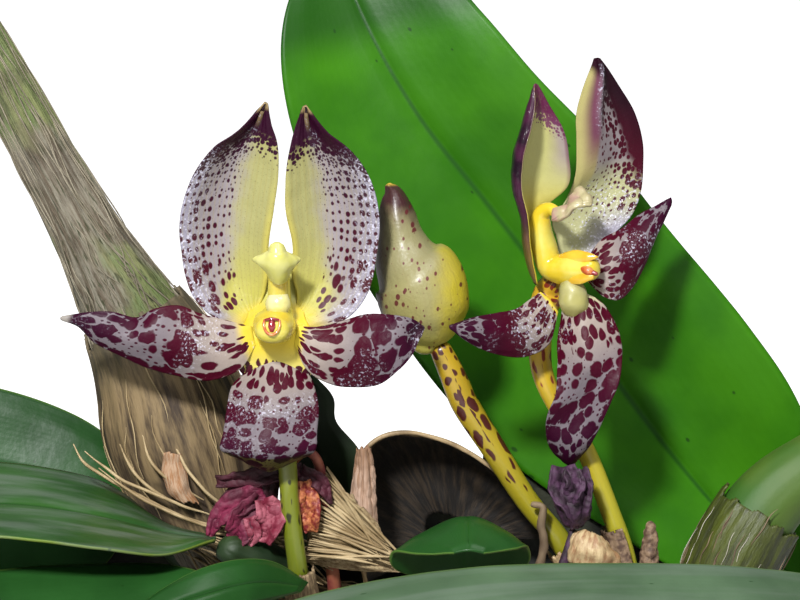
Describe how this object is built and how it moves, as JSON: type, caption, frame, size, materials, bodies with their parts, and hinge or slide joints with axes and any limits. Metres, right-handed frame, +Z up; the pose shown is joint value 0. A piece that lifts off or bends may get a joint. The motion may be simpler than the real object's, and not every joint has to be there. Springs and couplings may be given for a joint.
{
  "type": "bulbophyllum orchid",
  "caption": "Creeping epiphytic orchid plant, lifted with its root mat, with spotted maroon flowers, a bud, leathery leaves and fibrous pseudobulbs.",
  "frame": {"origin": "on the flat underside of the root mat, below and in front of the rhizome", "axes": "+Z up, -Y towards the front of the left flower, +X along the rhizome towards its growing tip"},
  "size_m": [0.3017, 0.1332, 0.1325],
  "materials": {
    "tepal": "waxy, maroon spots on lilac white and yellow",
    "lip": "waxy yellow",
    "column": "waxy golden yellow",
    "stalk": "smooth yellow green",
    "leaf": "satin green",
    "bulb": "satin green",
    "dry": "dry fibres",
    "root": "matte",
    "spent": "shrivelled"
  },
  "bodies": {
    "root": {"flower_a_dorsal_sepal": "tepal", "flower_a_lateral_sepal_left": "tepal", "flower_a_lateral_sepal_right": "tepal", "flower_a_petal_left": "tepal", "flower_a_petal_right": "tepal", "flower_a_lip": "lip", "flower_a_column": "column", "flower_a_stalk": "stalk", "flower_a_bract": "dry", "flower_b_dorsal_sepal": "tepal", "flower_b_lateral_sepal_left": "tepal", "flower_b_lateral_sepal_right": "tepal", "flower_b_petal_left": "tepal", "flower_b_petal_right": "tepal", "flower_b_lip": "lip", "flower_b_column": "column", "flower_b_stalk": "stalk", "flower_b_bract": "dry", "bud": "lip", "bud_stalk": "stalk", "bud_bract": "dry", "leaf_back": "leaf", "leaf_left": "leaf", "leaf_right": "leaf", "leaf_low_back": "leaf", "leaf_low_middle": "leaf", "leaf_low_front": "leaf", "leaf_small_left": "leaf", "leaf_small_back": "leaf", "leaf_middle": "leaf", "leaf_front": "leaf", "pseudobulb_left": "bulb", "pseudobulb_right": "bulb", "pseudobulb_back": "bulb", "pseudobulb_low_back": "bulb", "pseudobulb_low_middle": "bulb", "pseudobulb_low_front": "bulb", "pseudobulb_middle": "bulb", "pseudobulb_front": "bulb", "sheath_left": "dry", "sheath_right": "dry", "dry_hood": "dry", "dry_stalk": "dry", "spent_flower_left": "spent", "spent_stalk_left": "spent", "spent_flower_right": "spent", "spent_stalk_right": "spent", "rhizome": "dry", "root_mat": "root", "root_1": "root", "root_2": "root", "root_3": "root", "root_4": "root", "root_5": "root", "root_6": "root", "root_7": "root", "root_8": "root", "root_9": "root"}
  },
  "joints": []
}
